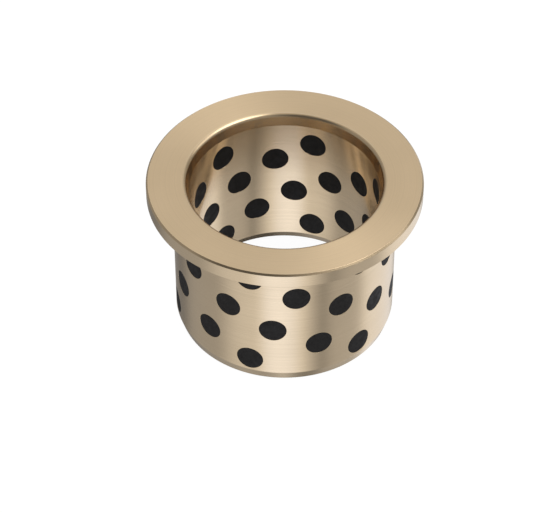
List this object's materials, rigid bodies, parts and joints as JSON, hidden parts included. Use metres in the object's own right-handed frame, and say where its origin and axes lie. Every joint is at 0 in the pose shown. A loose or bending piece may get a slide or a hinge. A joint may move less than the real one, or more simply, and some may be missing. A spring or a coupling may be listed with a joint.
{
  "type": "flanged bushing",
  "caption": "Flanged sleeve bushing in bronze, with rows of round graphite plugs pressed through its wall as dry lubricant.",
  "frame": {"origin": "on the bore's axis, in the plane of the sleeve's bottom end", "axes": "+Z along the bore's axis towards the flange; the flange's thrust face is the top"},
  "size_m": [0.08, 0.08, 0.05],
  "materials": {
    "bronze": "satin turned bronze",
    "graphite": "matte graphite, turned flush with the bronze"
  },
  "bodies": {
    "root": {"bushing_body": "bronze", "graphite_plug_row1_1": "graphite", "graphite_plug_row1_2": "graphite", "graphite_plug_row1_3": "graphite", "graphite_plug_row1_4": "graphite", "graphite_plug_row1_5": "graphite", "graphite_plug_row1_6": "graphite", "graphite_plug_row2_1": "graphite", "graphite_plug_row2_2": "graphite", "graphite_plug_row2_3": "graphite", "graphite_plug_row2_4": "graphite", "graphite_plug_row2_5": "graphite", "graphite_plug_row2_6": "graphite", "graphite_plug_row3_1": "graphite", "graphite_plug_row3_2": "graphite", "graphite_plug_row3_3": "graphite", "graphite_plug_row3_4": "graphite", "graphite_plug_row3_5": "graphite", "graphite_plug_row3_6": "graphite", "graphite_plug_row4_1": "graphite", "graphite_plug_row4_2": "graphite", "graphite_plug_row4_3": "graphite", "graphite_plug_row4_4": "graphite", "graphite_plug_row4_5": "graphite", "graphite_plug_row4_6": "graphite", "graphite_plug_row5_1": "graphite", "graphite_plug_row5_2": "graphite", "graphite_plug_row5_3": "graphite", "graphite_plug_row5_4": "graphite", "graphite_plug_row5_5": "graphite", "graphite_plug_row5_6": "graphite", "graphite_plug_row6_1": "graphite", "graphite_plug_row6_2": "graphite", "graphite_plug_row6_3": "graphite", "graphite_plug_row6_4": "graphite", "graphite_plug_row6_5": "graphite", "graphite_plug_row6_6": "graphite"}
  },
  "joints": []
}
